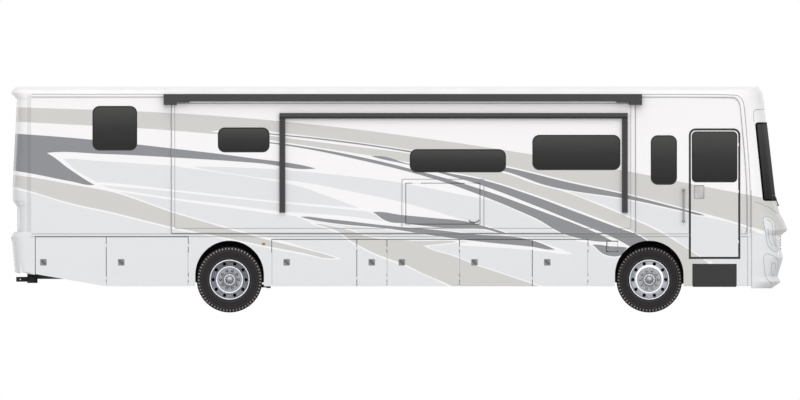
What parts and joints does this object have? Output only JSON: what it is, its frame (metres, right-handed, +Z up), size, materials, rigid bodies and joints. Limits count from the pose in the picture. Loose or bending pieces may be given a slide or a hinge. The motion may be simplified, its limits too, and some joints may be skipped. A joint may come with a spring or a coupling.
{
  "type": "motorhome",
  "caption": "Long coach-bodied motorhome with a slide-out room, patio awning, baggage doors, entry door with step, steered front wheels and twin rear wheels.",
  "frame": {"origin": "on the ground under the middle of the coach", "axes": "+X towards the front, +Y towards the left side, +Z up"},
  "size_m": [12.0359, 2.6843, 3.502],
  "materials": {
    "body_paint": "gloss paint",
    "roof_skin": "gloss moulding",
    "window_glass": "tinted",
    "lamp_lens": "clear",
    "awning_cover": "satin",
    "frame_steel": "satin",
    "engine_iron": "painted",
    "tank_metal": "satin",
    "floor_panel": "matt",
    "bay_liner": "matt",
    "dark_trim": "matt",
    "step_metal": "matt",
    "handle_metal": "brushed",
    "tyre_rubber": "matt",
    "rim_metal": "polished",
    "seat_cover": "woven"
  },
  "bodies": {
    "coach": {"chassis_frame": "frame_steel", "coach_floor": "floor_panel", "wall_right": "body_paint", "wall_left": "body_paint", "wall_windows": "window_glass", "coach_roof": "roof_skin", "front_cap": "body_paint", "windshield": "window_glass", "rear_cap": "body_paint", "rear_bumper": "body_paint", "skirt_right": "body_paint", "skirt_left": "body_paint", "baggage_bays": "bay_liner", "wheel_wells": "bay_liner", "front_axle": "frame_steel", "rear_axle": "frame_steel", "suspension": "frame_steel", "engine_and_shaft": "engine_iron", "fuel_tank": "tank_metal", "entry_frame": "dark_trim", "grab_handle": "handle_metal", "dashboard": "dark_trim", "cockpit_seats": "seat_cover", "front_lamps": "lamp_lens", "front_grille": "dark_trim", "tail_lamps": "lamp_lens"},
    "slide_out": {"slide_room": "body_paint", "slide_windows": "window_glass", "slide_topper": "awning_cover", "patio_awning": "awning_cover"},
    "hatch": {"service_hatch": "body_paint"},
    "entry": {"entry_door": "body_paint", "entry_door_window": "window_glass"},
    "step": {"entry_step": "step_metal"},
    "fuel_flap": {"fuel_door": "body_paint"},
    "engine_lid": {"engine_door": "body_paint"},
    "right_knuckle": {"knuckle_right": "frame_steel"},
    "left_knuckle": {"knuckle_left": "frame_steel"},
    "tie": {"tie_rod": "frame_steel"},
    "right_front_wheel": {"front_tyre_right": "tyre_rubber", "front_rim_right": "rim_metal"},
    "left_front_wheel": {"front_tyre_left": "tyre_rubber", "front_rim_left": "rim_metal"},
    "right_rear_wheels": {"rear_tyres_right": "tyre_rubber", "rear_rims_right": "rim_metal"},
    "left_rear_wheels": {"rear_tyres_left": "tyre_rubber", "rear_rims_left": "rim_metal"},
    "right_bay_1": {"bay_door_right_1": "body_paint"},
    "right_bay_2": {"bay_door_right_2": "body_paint"},
    "right_bay_3": {"bay_door_right_3": "body_paint"},
    "right_bay_4": {"bay_door_right_4": "body_paint"},
    "right_bay_5": {"bay_door_right_5": "body_paint"},
    "right_bay_6": {"bay_door_right_6": "body_paint"},
    "right_bay_7": {"bay_door_right_7": "body_paint"},
    "left_bay_1": {"bay_door_left_1": "body_paint"},
    "left_bay_2": {"bay_door_left_2": "body_paint"},
    "left_bay_3": {"bay_door_left_3": "body_paint"},
    "left_bay_4": {"bay_door_left_4": "body_paint"},
    "left_bay_5": {"bay_door_left_5": "body_paint"}
  },
  "joints": [
    {"name": "slide_travel", "type": "slide", "parent": "coach", "child": "slide_out", "axis": [0, -1, 0], "range_m": [0, 0.74]},
    {"name": "hatch_swing", "type": "hinge", "parent": "slide_out", "child": "hatch", "pos_m": [0.6825, -1.304, 2.005], "axis": [-1, 0, 0], "range_deg": [0, 85]},
    {"name": "entry_swing", "type": "hinge", "parent": "coach", "child": "entry", "pos_m": [5.2655, -1.274, 1.842], "axis": [0, 0, 1], "range_deg": [0, 95]},
    {"name": "step_travel", "type": "slide", "parent": "coach", "child": "step", "axis": [0, -1, 0], "range_m": [0, 0.24]},
    {"name": "fuel_flap_swing", "type": "hinge", "parent": "coach", "child": "fuel_flap", "pos_m": [3.3955, -1.27, 1.025], "axis": [0, 0, 1], "range_deg": [0, 90]},
    {"name": "engine_lid_swing", "type": "hinge", "parent": "coach", "child": "engine_lid", "pos_m": [-6.0085, 0, 1.153], "axis": [0, 1, 0], "range_deg": [0, 80]},
    {"name": "steer_right", "type": "hinge", "parent": "coach", "child": "right_knuckle", "pos_m": [3.8815, -0.86, 0.51], "axis": [0, 0, 1], "range_deg": [-45, 45]},
    {"name": "steer_left", "type": "hinge", "parent": "coach", "child": "left_knuckle", "pos_m": [3.8815, 0.86, 0.51], "axis": [0, 0, 1], "range_deg": [-45, 45]},
    {"name": "tie_rod_turn", "type": "hinge", "parent": "right_knuckle", "child": "tie", "pos_m": [3.6815, -0.86, 0.364], "axis": [0, 0, 1], "range_deg": [-45, 45]},
    {"name": "front_right_spin", "type": "hinge", "parent": "right_knuckle", "child": "right_front_wheel", "pos_m": [3.8815, -1.03, 0.51], "axis": [0, 1, 0], "continuous": true},
    {"name": "front_left_spin", "type": "hinge", "parent": "left_knuckle", "child": "left_front_wheel", "pos_m": [3.8815, 1.03, 0.51], "axis": [0, 1, 0], "continuous": true},
    {"name": "rear_right_spin", "type": "hinge", "parent": "coach", "child": "right_rear_wheels", "pos_m": [-2.6235, -0.948, 0.51], "axis": [0, 1, 0], "continuous": true},
    {"name": "rear_left_spin", "type": "hinge", "parent": "coach", "child": "left_rear_wheels", "pos_m": [-2.6235, 0.948, 0.51], "axis": [0, 1, 0], "continuous": true},
    {"name": "bay_right_1_swing", "type": "hinge", "parent": "coach", "child": "right_bay_1", "pos_m": [-4.5355, -1.27, 0.78], "axis": [0, 0, 1], "range_deg": [0, 90]},
    {"name": "bay_right_2_swing", "type": "hinge", "parent": "coach", "child": "right_bay_2", "pos_m": [-3.2645, -1.27, 0.78], "axis": [0, 0, 1], "range_deg": [0, 90]},
    {"name": "bay_right_3_swing", "type": "hinge", "parent": "coach", "child": "right_bay_3", "pos_m": [-0.6515, -1.27, 0.78], "axis": [0, 0, 1], "range_deg": [0, 90]},
    {"name": "bay_right_4_swing", "type": "hinge", "parent": "coach", "child": "right_bay_4", "pos_m": [-0.1855, -1.27, 0.78], "axis": [0, 0, 1], "range_deg": [0, 90]},
    {"name": "bay_right_5_swing", "type": "hinge", "parent": "coach", "child": "right_bay_5", "pos_m": [0.9395, -1.27, 0.78], "axis": [0, 0, 1], "range_deg": [0, 90]},
    {"name": "bay_right_6_swing", "type": "hinge", "parent": "coach", "child": "right_bay_6", "pos_m": [2.0685, -1.27, 0.78], "axis": [0, 0, 1], "range_deg": [0, 90]},
    {"name": "bay_right_7_swing", "type": "hinge", "parent": "coach", "child": "right_bay_7", "pos_m": [2.9315, -1.27, 0.78], "axis": [0, 0, 1], "range_deg": [0, 90]},
    {"name": "bay_left_1_swing", "type": "hinge", "parent": "coach", "child": "left_bay_1", "pos_m": [-4.5355, 1.27, 0.78], "axis": [0, 0, -1], "range_deg": [0, 90]},
    {"name": "bay_left_2_swing", "type": "hinge", "parent": "coach", "child": "left_bay_2", "pos_m": [-3.2645, 1.27, 0.78], "axis": [0, 0, -1], "range_deg": [0, 90]},
    {"name": "bay_left_3_swing", "type": "hinge", "parent": "coach", "child": "left_bay_3", "pos_m": [-0.1855, 1.27, 0.78], "axis": [0, 0, -1], "range_deg": [0, 90]},
    {"name": "bay_left_4_swing", "type": "hinge", "parent": "coach", "child": "left_bay_4", "pos_m": [0.9395, 1.27, 0.78], "axis": [0, 0, -1], "range_deg": [0, 90]},
    {"name": "bay_left_5_swing", "type": "hinge", "parent": "coach", "child": "left_bay_5", "pos_m": [2.9315, 1.27, 0.78], "axis": [0, 0, -1], "range_deg": [0, 90]}
  ],
  "couplings": [
    {"joint": "steer_left", "follows": "steer_right", "ratio": 1},
    {"joint": "tie_rod_turn", "follows": "steer_right", "ratio": -1}
  ]
}
